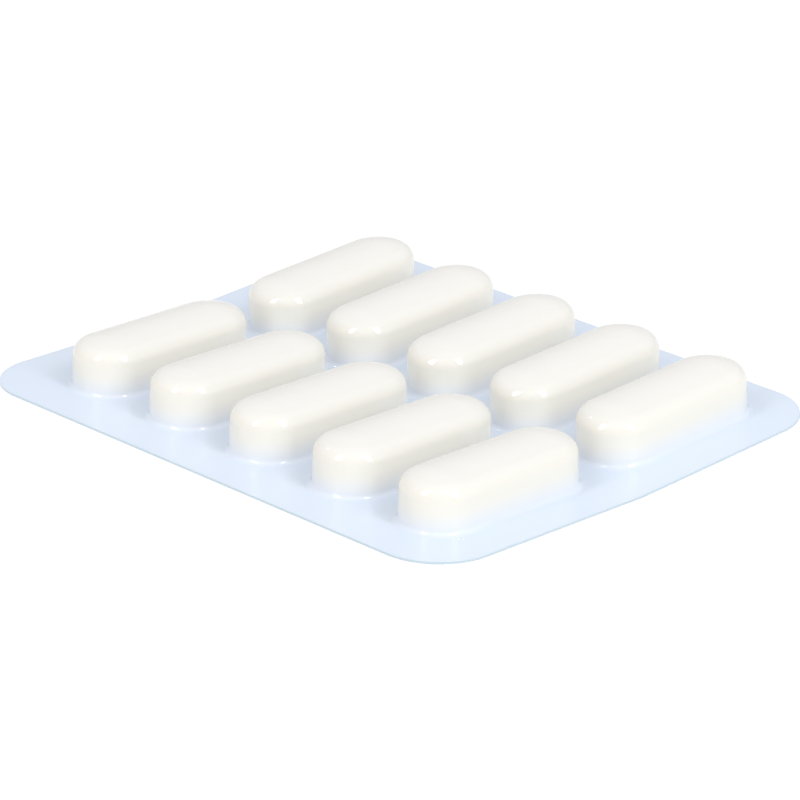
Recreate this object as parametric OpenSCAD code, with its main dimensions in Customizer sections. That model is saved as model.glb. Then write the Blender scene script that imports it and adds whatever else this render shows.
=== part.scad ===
// Blister pack of oblong tablets: two columns of formed pockets in one clear film,
// sealed by a flat foil, with one loose tablet in each pocket.
// X runs along the pack, Y across its two columns and Z up, with the foil underneath.
// The near column lies flat and the far one is bent up a little along the line between them.

/* [Pockets] */
// Pockets in each of the two columns
rows = 5; // [2:1:7]
// Length of a pocket, across the pack, where its wall meets the flat film
pocket_l = 25; // [20:0.1:30]
// Width of a pocket, where its wall meets the flat film
pocket_w = 9.7; // [8:0.1:12]
// Height of a pocket above the flat film
pocket_h = 6.1; // [5.5:0.1:8]
// Lean of the pocket's wall from upright, in degrees
draft_deg = 2; // [0.5:0.5:6]
// Radius across the gently rounded top of a pocket
crown_r = 13; // [11:0.5:30]
// Radius of the shoulder between wall and top
shoulder_r = 1.85; // [1:0.05:2.2]
// Radius of the flare where the wall runs out into the flat film
foot_r = 0.7; // [0.2:0.1:1.4]

/* [Outline] */
// Flat film between the walls of neighbouring pockets in a column
row_gap = 4.3; // [3.5:0.1:8]
// Flat film between the end walls of the two columns
column_gap = 3.6; // [3.5:0.1:10]
// Margin from the left edge to the first pocket
left_margin = 8.1; // [4:0.1:15]
// Margin from the last pocket to the right edge
right_margin = 5.6; // [4:0.1:15]
// Margin from the near edge to the near column
near_margin = 6; // [4:0.1:15]
// Margin from the far column to the far edge
far_margin = 4.6; // [4:0.1:15]
// Radius of the card's four corners
corner_r = 7.7; // [2:0.1:9]
// How far the far column is bent up, in degrees
fold_deg = 3.7; // [0:0.1:8]

/* [Sheets] */
// Thickness of the formed film
film_t = 0.25; // [0.2:0.01:0.35]
// Thickness of the lidding foil with its seal coat
foil_t = 0.05; // [0.04:0.01:0.1]

/* [Tablets] */
// Free space between a tablet's straight side and the pocket's wall, where the wall leans nearest to it
side_gap = 0.3; // [0.2:0.05:1]
// Free space between a tablet and the pocket's top
head_gap = 0.4; // [0.3:0.05:1.2]
// Space that keeps a tablet's curved face just off the foil
seat_gap = 0.05; // [0.02:0.01:0.2]
// Height of each rounded face of a tablet above its straight side
cup_h = 1.45; // [0.6:0.05:2.2]

/* [Hidden] */
$fn = 64;
// Each rounded corner laps over the faces beside it by this much, so that they cross at a slight angle
arc_lap = 0.003;
// The foot's arc meets the flat film at this angle
foot_angle = 10;
// A cutting shape reaches this far past what it cuts
over = 1;

row_pitch = pocket_w + row_gap;
column_pitch = pocket_l + column_gap;
card_l = left_margin + (rows - 1) * row_pitch + pocket_w + right_margin;
card_w = near_margin + column_pitch + pocket_l + far_margin;
first_x = left_margin + pocket_w / 2 - card_l / 2;
fold_y = near_margin + (pocket_l + column_pitch) / 2 - card_w / 2;
land_z = foil_t + film_t;

// A pocket's half section has u across it, from its middle, and z up.
// The wall's line is given by its normal and its own direction.
wall_normal = [cos(draft_deg), sin(draft_deg)];
wall_up = [-sin(draft_deg), cos(draft_deg)];
wall_reach = pocket_w / 2 * cos(draft_deg);

// Centres of the three arcs of the section, which the film's two faces share
crown_c = [0, land_z + pocket_h - crown_r];
crown_drop = land_z - crown_c.y;
shoulder_reach = wall_reach - shoulder_r;
shoulder_rise = sqrt((crown_r - shoulder_r) ^ 2 - (shoulder_reach + crown_drop * sin(draft_deg)) ^ 2)
    - crown_drop * cos(draft_deg);
shoulder_c = [0, land_z] + shoulder_reach * wall_normal + shoulder_rise * wall_up;
foot_rise = (foot_r * cos(foot_angle) - (wall_reach + foot_r) * sin(draft_deg)) / cos(draft_deg);
foot_c = [0, land_z] + (wall_reach + foot_r) * wall_normal + foot_rise * wall_up;

tablet_t = pocket_h - head_gap - seat_gap;
side_top = foil_t + seat_gap + tablet_t - cup_h;
tablet_w = pocket_w - 2 * ((side_top - land_z) * tan(draft_deg) + film_t / cos(draft_deg) + side_gap);
tablet_l = tablet_w + pocket_l - pocket_w;
cup_r = (tablet_w ^ 2 / 4 + cup_h ^ 2) / (2 * cup_h);

// Half of a pocket's section, down to z = low, with its face set in from the film's outer face
module pocket_section(set_in, low) {
    crown_ray = (shoulder_c - crown_c) / norm(shoulder_c - crown_c);
    difference() {
        union() {
            polygon([
                [0, low],
                [foot_c.x, low],
                foot_c,
                foot_c - (foot_r + set_in) * wall_normal,
                shoulder_c + (shoulder_r - set_in) * wall_normal,
                shoulder_c,
                [0, shoulder_c.y]
            ]);
            translate(shoulder_c) circle(shoulder_r - set_in + arc_lap);
            intersection() {
                translate(crown_c) circle(crown_r - set_in);
                polygon([[0, low], shoulder_c, crown_c + (crown_r + over) * crown_ray,
                         crown_c + [0, crown_r + over]]);
            }
        }
        translate(foot_c) circle(foot_r + set_in + arc_lap);
    }
}

// A bar along Y with round ends: its half section is turned about each end and run between them
module round_ended(length, width) {
    straight = length - width;
    for (end = [0, 1])
        rotate([0, 0, 180 * end]) translate([0, straight / 2, 0])
            rotate_extrude(angle = 180) children();
    translate([0, straight / 2, 0]) rotate([90, 0, 0]) linear_extrude(straight) {
        children();
        mirror([1, 0]) children();
    }
}

// Moves its children from the middle of the floor to a pocket, in column 0 (near) or 1 (far)
module at_pocket(row, column) {
    translate([0, fold_y, 0]) rotate([column * fold_deg, 0, 0])
        translate([first_x + row * row_pitch, (column - 0.5) * column_pitch, 0]) children();
}

module in_every_pocket() {
    for (column = [0, 1], row = [0:rows - 1]) at_pocket(row, column) children();
}

// The card's outline, seen from above
module card_outline() {
    square([card_l - 2 * corner_r, card_w], center = true);
    square([card_l, card_w - 2 * corner_r], center = true);
    for (x = [-1, 1], y = [-1, 1])
        translate([x * (card_l / 2 - corner_r), y * (card_w / 2 - corner_r)]) circle(corner_r);
}

// A sheet between two heights above the floor, bent along the line between the columns
module bent_sheet(bottom, top) {
    function bend(z) = [fold_y - z * tan(fold_deg / 2), z];
    function far(z) = [fold_y, 0] + card_w * [cos(fold_deg), sin(fold_deg)]
        + z * [-sin(fold_deg), cos(fold_deg)];
    intersection() {
        rotate([90, 0, 90]) linear_extrude(card_l + 2 * over, center = true)
            polygon([[-card_w, bottom], bend(bottom), far(bottom), far(top), bend(top), [-card_w, top]]);
        linear_extrude(card_w, center = true) card_outline();
    }
}

module formed_film() {
    color("aliceblue", 0.7) difference() {
        union() {
            bent_sheet(foil_t, land_z);
            in_every_pocket() round_ended(pocket_l, pocket_w) pocket_section(0, foil_t + film_t / 2);
        }
        in_every_pocket() round_ended(pocket_l, pocket_w) pocket_section(film_t, -over);
    }
}

module lidding_foil() {
    color("silver") bent_sheet(0, foil_t);
}

module tablet(row, column) {
    middle = foil_t + seat_gap + tablet_t / 2;
    color("cornsilk") at_pocket(row, column) translate([0, 0, middle])
        round_ended(tablet_l, tablet_w) intersection() {
            translate([0, -tablet_t / 2]) square([tablet_w / 2, tablet_t]);
            translate([0, tablet_t / 2 - cup_r]) circle(cup_r);
            translate([0, cup_r - tablet_t / 2]) circle(cup_r);
        }
}

formed_film();
lidding_foil();
for (column = [0, 1], row = [0:rows - 1])
    tablet(row, column);
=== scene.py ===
# %% [markdown]
# # A blister pack of oblong tablets
# A blister pack is one sheet of stiff film with pockets drawn into it, and a flat foil welded
# over their open side. A tablet lies loose in every pocket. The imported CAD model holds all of
# these as exact solids, and it is loaded first, because it fixes every place and size.
# What Blender adds is what solids cannot show: milky film, its gloss, the welded foil's
# pattern and the soft edges of the tablets.

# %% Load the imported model
from math import asin, atan2, cos, pi, radians, sin, sqrt, tan

import bmesh
import bpy
from mathutils import Matrix, Vector


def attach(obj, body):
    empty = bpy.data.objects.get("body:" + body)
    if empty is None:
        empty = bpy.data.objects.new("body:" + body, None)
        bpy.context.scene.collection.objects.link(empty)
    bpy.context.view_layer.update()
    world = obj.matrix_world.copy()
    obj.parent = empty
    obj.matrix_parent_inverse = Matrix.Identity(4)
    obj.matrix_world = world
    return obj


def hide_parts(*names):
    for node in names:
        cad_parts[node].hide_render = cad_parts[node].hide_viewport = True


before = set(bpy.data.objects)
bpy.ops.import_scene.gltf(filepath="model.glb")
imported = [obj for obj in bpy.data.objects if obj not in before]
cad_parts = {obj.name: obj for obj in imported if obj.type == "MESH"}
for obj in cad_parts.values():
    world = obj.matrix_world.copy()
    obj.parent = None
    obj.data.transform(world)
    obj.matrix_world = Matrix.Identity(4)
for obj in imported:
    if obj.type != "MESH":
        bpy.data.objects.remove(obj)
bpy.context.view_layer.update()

print("CAD nodes:", len(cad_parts))

# %% [markdown]
# ## The camera
# The photograph was taken from the front right, about 22 degrees above the table and from far
# off, so the pack shows almost no perspective. Its axes are written out as vectors, which is
# clearer than three angles when a small roll has to be added at the end.

# %% Place the camera
mm = 0.001
photo_side = 800
focal_length = 4572.08
azimuth, elevation, roll = radians(45.759), radians(21.538), radians(0.769)
aim, distance = Vector((-0.427, 1.152, 0)) * mm, 543.97 * mm
backwards = Vector((sin(azimuth) * cos(elevation), -cos(azimuth) * cos(elevation), sin(elevation)))
level = Vector((cos(azimuth), sin(azimuth), 0))
upright = backwards.cross(level)
across = cos(roll) * level + sin(roll) * upright
upwards = cos(roll) * upright - sin(roll) * level

camera_data = bpy.data.cameras.new("camera")
camera_data.sensor_width = 36
camera_data.lens = 36 * focal_length / photo_side
camera_data.clip_start = 0.01
camera = bpy.data.objects.new("camera", camera_data)
camera.matrix_world = Matrix.Translation(aim + distance * backwards) @ (
    Matrix((across, upwards, backwards)).transposed().to_4x4())
bpy.context.scene.collection.objects.link(camera)
bpy.context.scene.camera = camera
print("camera lens:", round(camera_data.lens, 1), "mm")

# %% [markdown]
# ## The measures
# These are the pack's own sizes, in millimetres, as the CAD source names them. Everything
# below is modelled in millimetres and made metres once, at the end of each piece.

# %% Write down the measures
rows, columns = 5, 2
pocket_l, pocket_w, pocket_h, draft = 25.0, 9.7, 6.1, radians(2)
crown_r, shoulder_r, foot_r = 13.0, 1.85, 0.7
row_pitch, column_pitch = 14.0, 28.6
card_l, card_w, corner_r = 79.4, 64.2, 7.7
first_x, fold_y, fold = -26.75, 0.7, radians(3.7)
film_t, foil_t = 0.25, 0.05
land_z = foil_t + film_t
straight = pocket_l - pocket_w
print("card:", card_l, "x", card_w, "mm, pockets:", rows * columns)

# %% [markdown]
# ## Drawing a section with one point
# A pocket and a tablet are both a half section, turned about each of their round ends and run
# straight between them. The section itself is a line of arcs. Blender's spin can draw an arc
# too: it turns a single point about the arc's centre and leaves the line of its path behind.

# %% Helpers: draw a line of arcs
def start_line(bm, x, z):
    """The first point of a section, which lies in the XZ plane."""
    return bm.verts.new((x, 0, z))


def draw_arc(bm, point, centre_x, centre_z, turn, steps):
    """Turns the line's last point about a centre, clockwise as seen from the front."""
    spun = bmesh.ops.spin(bm, geom=[point], cent=(centre_x, 0, centre_z), axis=(0, 1, 0),
                          angle=turn, steps=steps, use_merge=False, use_duplicate=False)
    return next(g for g in spun["geom_last"] if isinstance(g, bmesh.types.BMVert))


def draw_straight(bm, point, x, z):
    """Carries the line on to another point."""
    drawn = bmesh.ops.extrude_vert_indiv(bm, verts=[point])["verts"][0]
    drawn.co = (x, 0, z)
    return drawn


# %% Helper: turn a section into a round-ended form
def run_round(bm, length_between, steps):
    """Turns the section about both ends of its straight part and runs it along both sides."""
    geometry = bm.verts[:] + bm.edges[:]
    bmesh.ops.translate(bm, verts=bm.verts, vec=(0, length_between / 2, 0))
    for end in (1, -1):
        turned = bmesh.ops.spin(bm, geom=geometry, cent=(0, end * length_between / 2, 0),
                                axis=(0, 0, 1), angle=radians(180), steps=steps,
                                use_merge=False, use_duplicate=False)
        edges = [g for g in turned["geom_last"] if isinstance(g, bmesh.types.BMEdge)]
        run = bmesh.ops.extrude_edge_only(bm, edges=edges)["geom"]
        bmesh.ops.translate(bm, verts=[g for g in run if isinstance(g, bmesh.types.BMVert)],
                            vec=(0, -end * length_between, 0))
        geometry = [g for g in run if not isinstance(g, bmesh.types.BMFace)]
    bmesh.ops.remove_doubles(bm, verts=bm.verts, dist=0.002)
    bmesh.ops.recalc_face_normals(bm, faces=bm.faces)


# %% Helpers: move to a pocket, and finish a piece
def pocket_place(row, column):
    """The middle of a pocket on the flat sheet, before the sheet is bent."""
    return Vector((first_x + row * row_pitch, fold_y + (column - 0.5) * column_pitch, 0))


def bend_far_half(bm, lines):
    """Turns what lies beyond each line up by its share of the bend, the farthest line first."""
    for line in reversed(lines):
        beyond = [v for v in bm.verts if v.co.y > line + 0.001]
        bmesh.ops.rotate(bm, verts=beyond, cent=(0, line, 0),
                         matrix=Matrix.Rotation(fold / len(lines), 3, "X"))


sharp_angle = radians(40)


def make_piece(bm, name):
    """Makes the bmesh an object in metres, smooth but for edges sharper than the angle."""
    bmesh.ops.scale(bm, verts=bm.verts, vec=(mm, mm, mm))
    for face in bm.faces:
        face.smooth = True
    for edge in bm.edges:
        edge.smooth = edge.calc_face_angle(0) < sharp_angle
    mesh = bpy.data.meshes.new(name)
    bm.to_mesh(mesh)
    bm.free()
    piece = bpy.data.objects.new(name, mesh)
    bpy.context.scene.collection.objects.link(piece)
    print(name, "faces:", len(mesh.polygons))
    return piece


# %% [markdown]
# ## The formed film
# The film is drawn as one face, its outside, and gets its thickness from a Solidify modifier,
# as a real sheet has one thickness. A pocket's section is a wide arc for the top, a tight one
# for the shoulder, a straight leaning wall and a small hollow arc at the foot. The centres are
# worked out as in the CAD source, from where the arcs have to touch.

# %% Work out the section's centres
wall_out, wall_up = Vector((cos(draft), sin(draft))), Vector((-sin(draft), cos(draft)))
wall_reach = pocket_w / 2 * cos(draft)
crown_z = land_z + pocket_h - crown_r
crown_drop = land_z - crown_z
shoulder_reach = wall_reach - shoulder_r
shoulder_rise = (sqrt((crown_r - shoulder_r) ** 2 - (shoulder_reach + crown_drop * sin(draft)) ** 2)
                 - crown_drop * cos(draft))
shoulder_c = Vector((0, land_z)) + shoulder_reach * wall_out + shoulder_rise * wall_up
foot_rise = (foot_r - (wall_reach + foot_r) * sin(draft)) / cos(draft)
foot_c = Vector((0, land_z)) + (wall_reach + foot_r) * wall_out + foot_rise * wall_up
crown_turn = atan2(shoulder_c.x, shoulder_c.y - crown_z)
print("shoulder centre:", tuple(round(c, 3) for c in shoulder_c),
      "foot centre:", tuple(round(c, 3) for c in foot_c))

# %% Form one pocket
pocket = bmesh.new()
point = start_line(pocket, 0, land_z + pocket_h)
point = draw_arc(pocket, point, 0, crown_z, crown_turn, 8)
point = draw_arc(pocket, point, *shoulder_c, radians(90) - draft - crown_turn, 12)
wall_end = foot_c - foot_r * wall_out
point = draw_straight(pocket, point, *wall_end)
point = draw_arc(pocket, point, *foot_c, draft - radians(90), 6)
point = draw_straight(pocket, point, foot_c.x + 0.2, land_z)
run_round(pocket, straight, 24)
pocket_mesh = bpy.data.meshes.new("one_pocket")
pocket.to_mesh(pocket_mesh)
print("pocket faces:", len(pocket.faces), "open edges:", sum(e.is_boundary for e in pocket.edges))
pocket.free()

# %% [markdown]
# The flat part of the film is a rounded rectangle with ten holes. Its outline is a square grid
# of one face, stretched, with bevelled corners. It is cut in two along the bend, and
# triangle_fill closes the space between each half's outline and its pockets.

# %% Lay out the sheet's outline
film = bmesh.new()
bmesh.ops.create_grid(film, x_segments=1, y_segments=1, size=0.5)
bmesh.ops.scale(film, verts=film.verts, vec=(card_l, card_w, 1))
bmesh.ops.bevel(film, geom=film.verts[:], offset=corner_r, offset_type="OFFSET", segments=16,
                profile=0.5, affect="VERTICES", material=-1)
bmesh.ops.bisect_plane(film, geom=film.verts[:] + film.edges[:] + film.faces[:],
                       plane_co=(0, fold_y, 0), plane_no=(0, 1, 0))
bmesh.ops.delete(film, geom=film.faces[:], context="FACES_ONLY")
bmesh.ops.translate(film, verts=film.verts, vec=(0, 0, land_z))
print("outline edges:", len(film.edges))

# %% Set in the pockets and fill the sheet between them
height = film.verts.layers.float.new("rise")
for column in range(columns):
    for row in range(rows):
        known = set(film.verts)
        film.from_mesh(pocket_mesh)
        bmesh.ops.translate(film, verts=[v for v in film.verts if v not in known],
                            vec=pocket_place(row, column))
for side in (-1, 1):
    rim = [e for e in film.edges if len(e.link_faces) < 2
           and all((v.co.y - fold_y) * side > -0.001 for v in e.verts)
           and abs(e.verts[0].co.z - land_z) < 0.001]
    bmesh.ops.triangle_fill(film, use_beauty=True, use_dissolve=False, edges=rim)
bmesh.ops.remove_doubles(film, verts=film.verts, dist=0.001)
print("film faces:", len(film.faces), "open edges:", sum(e.is_boundary for e in film.edges))

# %% [markdown]
# The bend between the columns is soft in real film. So it is spread over five lines close to
# each other, each of which turns the far half up by a fifth of the whole angle. Before that,
# every point keeps its height above the flat film as an attribute for the material.

# %% Bend the film and give it its thickness
for vert in film.verts:
    vert[height] = max(0.0, (vert.co.z - land_z) / pocket_h)
bend_step = 0.4
bend_lines = [fold_y + bend_step * k for k in (-2, -1, 0, 1, 2)]
for line in bend_lines:
    bmesh.ops.bisect_plane(film, geom=film.verts[:] + film.edges[:] + film.faces[:],
                           plane_co=(0, line, 0), plane_no=(0, 1, 0))
bmesh.ops.recalc_face_normals(film, faces=film.faces)
if sum(face.normal.z * face.calc_area() for face in film.faces) < 0:
    bmesh.ops.reverse_faces(film, faces=film.faces)
bend_far_half(film, bend_lines)
film_piece = make_piece(film, "film")

sheet_wall = film_piece.modifiers.new("thickness", "SOLIDIFY")
off_the_foil = 0.01
sheet_wall.thickness = (film_t - off_the_foil) * mm
sheet_wall.offset = -1
sheet_wall.use_even_offset = True
sheet_wall.material_offset_rim = 1
sheet_edge = film_piece.modifiers.new("cut edge", "BEVEL")
edge_rounding = 0.04
sheet_edge.width = edge_rounding * mm
sheet_edge.segments = 2
sheet_edge.limit_method = "ANGLE"
sheet_edge.angle_limit = radians(50)
sheet_edge.harden_normals = True

# %% [markdown]
# ## The tablets
# An oblong tablet is pressed between two cupped punches in a die with an upright wall, so it
# has two shallow domes and a straight side. Its coating rounds the edges between them. The
# section is two arcs and a line, and bevel softens the two edges.

# %% Press one tablet
side_gap, head_gap, seat_gap, cup_h = 0.3, 0.4, 0.05, 1.45
tablet_t = pocket_h - head_gap - seat_gap
tablet_low = foil_t + seat_gap
side_top = tablet_low + tablet_t - cup_h
tablet_w = pocket_w - 2 * ((side_top - land_z) * tan(draft) + film_t / cos(draft) + side_gap)
cup_r = (tablet_w ** 2 / 4 + cup_h ** 2) / (2 * cup_h)
cup_turn = asin(tablet_w / 2 / cup_r)
tablet = bmesh.new()
point = start_line(tablet, 0, tablet_low + tablet_t)
point = draw_arc(tablet, point, 0, tablet_low + tablet_t - cup_r, cup_turn, 10)
point = draw_straight(tablet, point, tablet_w / 2, tablet_low + cup_h)
point = draw_arc(tablet, point, 0, tablet_low + cup_r, cup_turn, 10)
run_round(tablet, straight, 24)
edges = [e for e in tablet.edges if e.calc_face_angle(0) > radians(20)]
coating_radius = 0.3
bmesh.ops.bevel(tablet, geom=edges, offset=coating_radius, offset_type="OFFSET", segments=4,
                profile=0.5, affect="EDGES", material=-1)
tablet_mesh = bpy.data.meshes.new("one_tablet")
tablet.to_mesh(tablet_mesh)
print("tablet:", round(tablet_w, 2), "x", round(tablet_w + straight, 2), "x", round(tablet_t, 2),
      "mm, open edges:", sum(e.is_boundary for e in tablet.edges))
tablet.free()

# %% Lay a tablet in every pocket
tablet_pieces = []
for column in range(columns):
    for row in range(rows):
        number = column * rows + row + 1
        laid = bmesh.new()
        laid.from_mesh(tablet_mesh)
        bmesh.ops.translate(laid, verts=laid.verts, vec=pocket_place(row, column))
        if column:
            bend_far_half(laid, [fold_y])
        piece = make_piece(laid, f"tablet_{number}_coated")
        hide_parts(f"tablet_{number}")
        tablet_pieces.append(piece)
bpy.data.meshes.remove(tablet_mesh)
bpy.data.meshes.remove(pocket_mesh)

# %% [markdown]
# ## Shader maths
# A material is a net of nodes. Numbers flow through it from socket to socket, and sums with
# them need Math nodes. The class Flow wraps a socket, so that 1 - mask or mask * 0.3 adds the
# right Math node by itself. Finish holds one material and has one method for all other nodes.

# %% Classes: Flow and Finish
class Flow:
    """A number that comes out of a node. Sums and products with it add Math nodes."""

    def __init__(self, finish, socket):
        self.finish, self.socket = finish, socket

    def math(self, operation, *values):
        node = self.finish.add("ShaderNodeMath", {"operation": operation},
                               dict(enumerate(values)))
        return Flow(self.finish, node.outputs[0])

    def __add__(self, other): return self.math("ADD", self, other)
    def __radd__(self, other): return self.math("ADD", other, self)
    def __sub__(self, other): return self.math("SUBTRACT", self, other)
    def __rsub__(self, other): return self.math("SUBTRACT", other, self)
    def __mul__(self, other): return self.math("MULTIPLY", self, other)
    def __rmul__(self, other): return self.math("MULTIPLY", other, self)
    def __truediv__(self, other): return self.math("DIVIDE", self, other)
    def __rtruediv__(self, other): return self.math("DIVIDE", other, self)
    def __pow__(self, other): return self.math("POWER", self, other)
    def __abs__(self): return self.math("ABSOLUTE", self)


class Finish:
    """A material while it is put together."""

    def __init__(self, name):
        self.material = bpy.data.materials.new(name)
        self.material.use_nodes = True
        self.tree = self.material.node_tree
        self.tree.nodes.clear()

    def add(self, kind, settings=None, sockets=None):
        """Adds any node: its settings are set first, then its sockets get values or links."""
        node = self.tree.nodes.new(kind)
        for name, value in (settings or {}).items():
            if name == "stops":
                for place, _ in value[1:-1]:
                    node.color_ramp.elements.new(place)
                for element, (place, colour) in zip(node.color_ramp.elements, value):
                    element.position, element.color = place, colour
            else:
                setattr(node, name, value)
        for name, value in (sockets or {}).items():
            if isinstance(value, Flow):
                self.tree.links.new(value.socket, node.inputs[name])
            else:
                node.inputs[name].default_value = value
        return node

    def flow(self, node, output=0):
        return Flow(self, node.outputs[output])

    def shade(self, sockets):
        """Ends the net with a Principled shader."""
        shader = self.add("ShaderNodeBsdfPrincipled", None, sockets)
        self.add("ShaderNodeOutputMaterial", None, {"Surface": self.flow(shader)})
        print("finish:", self.material.name, "nodes:", len(self.tree.nodes))
        return self.material


# %% Helpers: noise, steps and mixes
def places(finish):
    """Where a point is on the piece, in metres."""
    return finish.flow(finish.add("ShaderNodeTexCoord"), "Object")


def noise(finish, scale, detail=2.0, rough=0.5):
    """A cloudy value from 0 to 1. Scale is in cells to the metre."""
    node = finish.add("ShaderNodeTexNoise", {"noise_dimensions": "3D"},
                      {"Vector": places(finish), "Scale": scale, "Detail": detail,
                       "Roughness": rough})
    return finish.flow(node, "Fac")


def ramp(finish, value, low, high, to_low=0.0, to_high=1.0):
    """A smooth step of a value between two limits."""
    node = finish.add("ShaderNodeMapRange", {"interpolation_type": "SMOOTHSTEP"},
                      {"Value": value, "From Min": low, "From Max": high,
                       "To Min": to_low, "To Max": to_high})
    return finish.flow(node)


def blend_colours(finish, share, first, second):
    """The first colour where share is 0 and the second where it is 1."""
    node = finish.add("ShaderNodeMix", {"data_type": "RGBA"}, {0: share, 6: first, 7: second})
    return finish.flow(node, 2)


def bump(finish, height, depth):
    """Turns a height into a tilt of the surface. Depth is in metres."""
    return finish.flow(finish.add("ShaderNodeBump", None, {"Height": height, "Distance": depth}))


# %% [markdown]
# ## The film's finish
# The film is clear but milky: it veils the tablets and takes on their cream colour. Alpha on a
# Principled shader does that, and unlike real refraction it stays free of noise. A ramp over
# the height paints the flat film and the pocket feet blue, as a painted reflection of the foil
# under them, and gives the pockets the cream of the tablets. It also paints the shoulders a
# little darker than the tops, as painted shade where the lamps fall hardest. The flat film is
# also rougher, because the welding plate has pressed it.

# %% Finish the film
film_look = Finish("milky film")
rise = film_look.flow(film_look.add("ShaderNodeAttribute", {"attribute_name": "rise"}), "Fac")
clouds = noise(film_look, 160, 3)
grain = noise(film_look, 2600, 2)
# Painted light in this ramp: the blue stops at 0 and 0.07 are painted reflection of the foil, and the
# darker stop at 0.88 is painted shade on the shoulders.
film_colour_and_painted_light = film_look.flow(film_look.add("ShaderNodeValToRGB", {"stops": [
    (0.0, (0.755, 0.85, 1.0, 1)), (0.07, (0.81, 0.85, 0.93, 1)), (0.2, (0.86, 0.86, 0.85, 1)),
    (0.45, (0.89, 0.85, 0.75, 1)), (0.75, (0.88, 0.83, 0.72, 1)), (0.88, (0.87, 0.83, 0.75, 1)),
    (1.0, (0.92, 0.88, 0.81, 1)),
]}, {"Fac": rise}))
film_material = film_look.shade({
    "Base Color": film_colour_and_painted_light,
    "Roughness": ramp(film_look, rise, 0.0, 0.02, 0.24, 0.04) + clouds * 0.03 + grain * 0.02,
    "Metallic": ramp(film_look, rise, 0.0, 0.06, 0.1, 0.0),
    "Alpha": 0.8,
    "IOR": 1.53,
    "Specular IOR Level": 0.8,
    "Normal": bump(film_look, clouds * 0.7 + grain * 0.02, 0.00012),
})

# %% Finish the film's cut edge
edge_look = Finish("cut film")
edge_fibres = noise(edge_look, 3000, 1)
# The dark teal of the cut edge is painted shade, standing for the little light a clear film's edge
# sends back; the noise varies it at random.
edge_material = edge_look.shade({
    "Base Color": blend_colours(edge_look, edge_fibres, (0.36, 0.48, 0.55, 1), (0.46, 0.57, 0.63, 1)),
    "Roughness": 0.3 + edge_fibres * 0.2,
    "IOR": 1.53,
    "Normal": bump(edge_look, edge_fibres, 0.00004),
})

# %% [markdown]
# ## The tablets' finish
# The coating is cream, waxy and almost even. Close up it has fine pores and a few paler and
# darker specks, which come from two noises of different scale.

# %% Finish the tablets
tablet_look = Finish("cream coating")
mottle = noise(tablet_look, 500, 3)
specks = ramp(tablet_look, noise(tablet_look, 2200, 1), 0.62, 0.72)
pores = noise(tablet_look, 6000, 2)
cream = blend_colours(tablet_look, mottle, (0.93, 0.86, 0.68, 1), (0.97, 0.91, 0.76, 1))
tablet_material = tablet_look.shade({
    "Base Color": blend_colours(tablet_look, specks * 0.25, cream, (0.86, 0.77, 0.58, 1)),
    "Roughness": 0.38 + mottle * 0.12 + pores * 0.06,
    "Normal": bump(tablet_look, pores * 0.6 + mottle * 0.4, 0.00003),
})

# %% [markdown]
# ## The foil's finish
# The lidding foil is welded by a heated plate with fine ridges, which prints a grid into its
# underside everywhere except over the pockets. There the foil stays smooth. The same
# round-ended outline as the pockets', worked out as a distance, tells the two areas apart, and
# the height within the foil tells its underside from the side that faces the film.

# %% Measure how far a point of the foil is from a pocket
foil_look = Finish("welded foil")
separate = foil_look.add("ShaderNodeSeparateXYZ", None, {0: places(foil_look)})
along_x, along_y = foil_look.flow(separate, "X"), foil_look.flow(separate, "Y")
pitch, half_reach = row_pitch * mm, straight / 2 * mm
in_rows = (along_x - first_x * mm) / pitch
nearest = in_rows.math("ROUND", in_rows)
nearest = nearest.math("MINIMUM", nearest.math("MAXIMUM", nearest, 0.0), rows - 1.0)
from_row = abs(in_rows - nearest) * pitch
from_column = abs(abs(along_y - fold_y * mm) - column_pitch / 2 * mm)
past_straight = from_column.math("MAXIMUM", from_column - half_reach, 0.0)
to_pocket = (from_row ** 2 + past_straight ** 2) ** 0.5 - (pocket_w / 2 - film_t) * mm
along_z = foil_look.flow(separate, "Z")
in_far_half = along_z * cos(fold) - (along_y - fold_y * mm) * sin(fold)
above_lower_face = along_z.math("MINIMUM", along_z, in_far_half)
underneath = ramp(foil_look, above_lower_face, foil_t * mm * 0.6, foil_t * mm * 0.4)
weld_edge = 0.6 * mm
welded = ramp(foil_look, to_pocket, 0.0, weld_edge) * underneath

# %% Finish the foil
grid_pitch = 1.1 * mm
ridge = (along_x + along_y) * (2 * pi / grid_pitch)
cross_ridge = (along_x - along_y) * (2 * pi / grid_pitch)
grid = ridge.math("SINE", ridge) * cross_ridge.math("SINE", cross_ridge) * welded
rolled = noise(foil_look, 700, 2)
foil_material = foil_look.shade({
    "Base Color": blend_colours(foil_look, rolled, (0.78, 0.85, 0.96, 1), (0.84, 0.90, 0.98, 1)),
    "Metallic": 1.0,
    "Roughness": 0.16 + welded * 0.15 + rolled * 0.06,
    "Normal": bump(foil_look, grid * 0.5 + rolled * 0.1, 0.00008),
})

# %% Put the finishes on
film_piece.data.materials.append(film_material)
film_piece.data.materials.append(edge_material)
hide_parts("formed_film")
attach(film_piece, "root")
for piece in tablet_pieces:
    piece.data.materials.append(tablet_material)
    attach(piece, "root")
foil_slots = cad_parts["lidding_foil"].material_slots
for foil_slot in foil_slots:
    foil_slot.material = foil_material
print("foil slots:", len(foil_slots))

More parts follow.
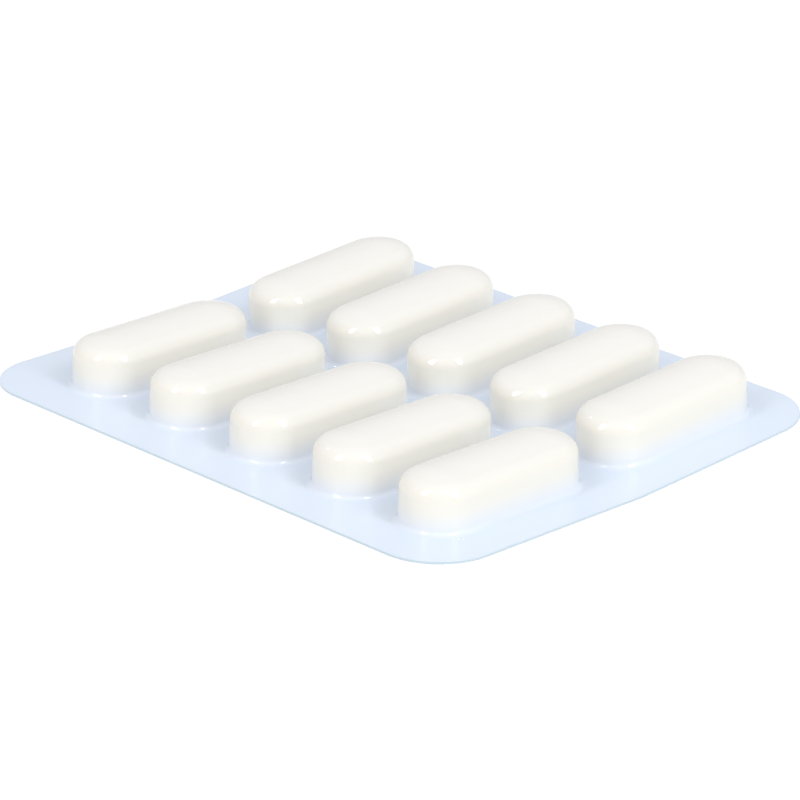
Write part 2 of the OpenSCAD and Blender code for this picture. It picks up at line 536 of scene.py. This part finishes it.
# %% [markdown]
# ## The studio
# The photograph is high key: the pack lies on glowing white, as on a light table. Two
# softboxes, one in front on the left and one on the right, and a small lamp far left make the
# bright spots on the pockets' shoulders, which gave their places. A bluish window and a large
# faint fill soften the shade. Standard keeps white paper white, and a gamma above 1 flattens
# the contrast as in the photograph.

# %% Lay the floor
floor_bm = bmesh.new()
floor_half, below_the_foil = 3000, 0.02
bmesh.ops.create_grid(floor_bm, x_segments=1, y_segments=1, size=floor_half)
bmesh.ops.translate(floor_bm, verts=floor_bm.verts, vec=(0, 0, -below_the_foil))
floor = make_piece(floor_bm, "floor")
floor_look = Finish("white paper")
floor_material = floor_look.shade({
    "Base Color": (0.15, 0.15, 0.15, 1),
    "Roughness": 0.9,
    "Specular IOR Level": 0.0,
    "Emission Color": (1, 1, 1, 1),
    "Emission Strength": 0.9,
})
floor.data.materials.append(floor_material)

# %% Hang the lamps
def hang_lamp(name, towards, width, height, glow, colour=(0.96, 0.98, 1)):
    """A lamp a metre from the pack, turned to face it. Its glow is the brightness of its cloth."""
    lamp = bpy.data.lights.new(name, "AREA")
    lamp.shape = "RECTANGLE"
    lamp.size, lamp.size_y, lamp.color = width, height, colour
    lamp.energy = glow * pi * width * height
    stand = bpy.data.objects.new(name, lamp)
    away = Vector(towards).normalized()
    stand.matrix_world = Matrix.Translation(away) @ (
        away.to_track_quat("Z", "Y").to_matrix().to_4x4())
    bpy.context.scene.collection.objects.link(stand)
    print(name, "power:", round(lamp.energy, 2), "W")


hang_lamp("softbox_front", (-0.03, -0.78, 0.62), 0.25, 0.6, 7)
hang_lamp("softbox_right", (0.78, -0.03, 0.62), 0.23, 0.7, 9)
hang_lamp("window_right", (0.92, 0.25, 0.31), 0.8, 0.5, 0.7, (0.4, 0.65, 1))
hang_lamp("fill", (0.55, -0.25, 0.80), 1.1, 0.8, 0.45)
hang_lamp("small_lamp", (-0.69, -0.12, 0.72), 0.035, 0.035, 35)
world = bpy.data.worlds.new("white room")
world.use_nodes = True
background = world.node_tree.nodes["Background"]
background.inputs["Color"].default_value = (0.955, 0.975, 1, 1)
background.inputs["Strength"].default_value = 0.675
bpy.context.scene.world = world
bpy.context.scene.view_settings.view_transform = "Standard"
bpy.context.scene.view_settings.gamma = 1.35
